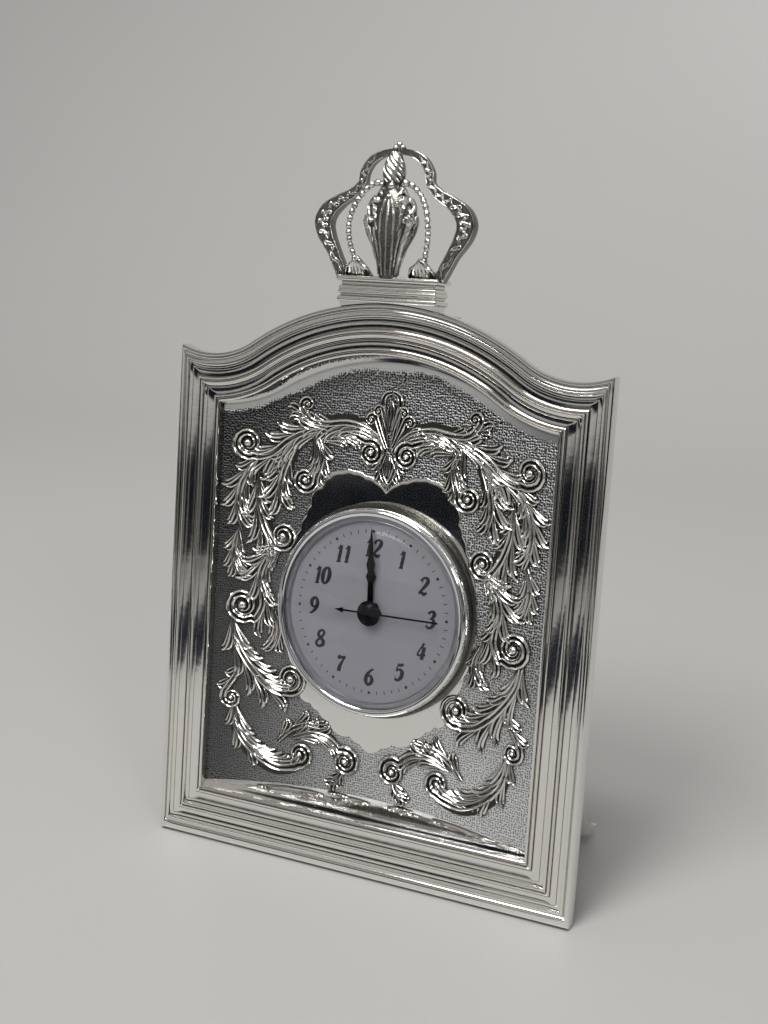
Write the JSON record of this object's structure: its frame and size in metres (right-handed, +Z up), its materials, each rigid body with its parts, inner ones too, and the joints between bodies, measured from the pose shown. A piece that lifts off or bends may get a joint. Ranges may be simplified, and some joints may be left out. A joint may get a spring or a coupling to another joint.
{
  "type": "photo frame clock",
  "caption": "Standing silver frame with a stepped arched moulding, concave embossed panel and openwork crown, holding a round quartz clock insert; it leans back on scroll feet.",
  "frame": {"origin": "middle of the flat rest face under the wooden core, on the table", "axes": "+Z up from the table, +Y to the back, +X to the right as seen from the front; the frame leans back 8.39 degrees about X"},
  "size_m": [0.1458, 0.062, 0.2266],
  "materials": {
    "silver": "polished silver plate, darkened in the recesses",
    "wood": "dark stained hardwood, satin",
    "screw_steel": "bright zinc",
    "bezel_chrome": "polished",
    "crystal_glass": "clear, domed",
    "case_steel": "plain pressed steel",
    "dial_paint": "satin silver grey",
    "grip_rubber": "matte",
    "hand_black": "gloss black",
    "brass": "plain",
    "movement_plastic": "moulded, matte",
    "gear_plastic": "moulded acetal",
    "stator_iron": "soft iron sheet",
    "copper_wire": "enamelled copper wire",
    "circuit_green": "solder mask",
    "can_metal": "nickel"
  },
  "bodies": {
    "frame": {"frame_moulding": "silver", "embossed_plaque": "silver", "seat_collar": "silver", "core_frame": "wood", "clock_board": "wood", "back_board": "wood", "back_board_screws": "screw_steel", "crown_base": "silver", "crown_leaf": "silver", "crown_beaded_arch_left": "silver", "crown_beaded_arch_right": "silver", "crown_arch_left": "silver", "crown_arch_right": "silver", "crown_finial": "silver", "crown_screw": "screw_steel", "rear_foot_left": "silver", "rear_foot_right": "silver", "foot_screws": "screw_steel"},
    "clock": {"clock_case": "case_steel", "clock_bezel": "bezel_chrome", "clock_crystal": "crystal_glass", "crystal_gasket": "grip_rubber", "clock_dial": "dial_paint", "grip_band": "grip_rubber", "dial_nut": "brass", "movement_plate": "movement_plastic", "middle_plate": "movement_plastic", "movement_cover": "movement_plastic", "circuit_board": "circuit_green", "quartz_can": "can_metal", "coil_bobbin": "movement_plastic", "coil_winding": "copper_wire", "stator": "stator_iron", "battery": "can_metal", "positive_contact": "brass", "negative_contact": "brass", "movement_screws": "screw_steel"},
    "seconds": {"seconds_wheel": "gear_plastic", "seconds_hand": "hand_black", "hub_cap": "hand_black"},
    "minute": {"cannon_pinion": "gear_plastic", "minute_hand": "hand_black"},
    "hour": {"hour_wheel": "gear_plastic", "hour_hand": "hand_black"},
    "motion": {"minute_wheel": "gear_plastic"},
    "setting": {"setting_shaft": "gear_plastic", "setting_knob": "movement_plastic"},
    "centre": {"centre_wheel": "gear_plastic"},
    "third": {"third_wheel": "gear_plastic"},
    "intermediate": {"intermediate_wheel": "gear_plastic"},
    "rotor": {"rotor": "gear_plastic"},
    "hatch": {"battery_cover": "movement_plastic"}
  },
  "joints": [
    {"name": "clock_pull_out", "type": "slide", "parent": "frame", "child": "clock", "axis": [0, -0.9893, 0.1459], "range_m": [0, 0.014]},
    {"name": "minute_turn", "type": "hinge", "parent": "clock", "child": "minute", "pos_m": [0, 0.00428, 0.08385], "axis": [0, 0.9893, -0.1459], "continuous": true},
    {"name": "hour_turn", "type": "hinge", "parent": "clock", "child": "hour", "pos_m": [0, 0.00428, 0.08385], "axis": [0, 0.9893, -0.1459], "continuous": true},
    {"name": "motion_turn", "type": "hinge", "parent": "clock", "child": "motion", "pos_m": [-0.00319, 0.00502, 0.08888], "axis": [0, 0.9893, -0.1459], "continuous": true},
    {"name": "setting_turn", "type": "hinge", "parent": "clock", "child": "setting", "pos_m": [-0.00638, 0.00576, 0.09391], "axis": [0, 0.9893, -0.1459], "continuous": true},
    {"name": "seconds_turn", "type": "hinge", "parent": "clock", "child": "seconds", "pos_m": [0, 0.00428, 0.08385], "axis": [0, 0.9893, -0.1459], "continuous": true},
    {"name": "third_turn", "type": "hinge", "parent": "clock", "child": "third", "pos_m": [0.00454, 0.00488, 0.08791], "axis": [0, 0.9893, -0.1459], "continuous": true},
    {"name": "centre_turn", "type": "hinge", "parent": "clock", "child": "centre", "pos_m": [0, 0.00428, 0.08385], "axis": [0, 0.9893, -0.1459], "continuous": true},
    {"name": "intermediate_turn", "type": "hinge", "parent": "clock", "child": "intermediate", "pos_m": [-0.00519, 0.00397, 0.08177], "axis": [0, 0.9893, -0.1459], "continuous": true},
    {"name": "rotor_turn", "type": "hinge", "parent": "clock", "child": "rotor", "pos_m": [-0.00964, 0.00371, 0.07998], "axis": [0, 0.9893, -0.1459], "continuous": true},
    {"name": "battery_cover_slide", "type": "slide", "parent": "clock", "child": "hatch", "axis": [0.9993, 0.0053, 0.0363], "range_m": [0, 0.013]}
  ],
  "couplings": [
    {"joint": "hour_turn", "follows": "minute_turn", "ratio": 0.083333},
    {"joint": "motion_turn", "follows": "minute_turn", "ratio": -0.33333},
    {"joint": "setting_turn", "follows": "minute_turn", "ratio": 1},
    {"joint": "third_turn", "follows": "seconds_turn", "ratio": -0.13333},
    {"joint": "centre_turn", "follows": "seconds_turn", "ratio": 0.016667},
    {"joint": "intermediate_turn", "follows": "seconds_turn", "ratio": -6},
    {"joint": "rotor_turn", "follows": "seconds_turn", "ratio": 30}
  ]
}
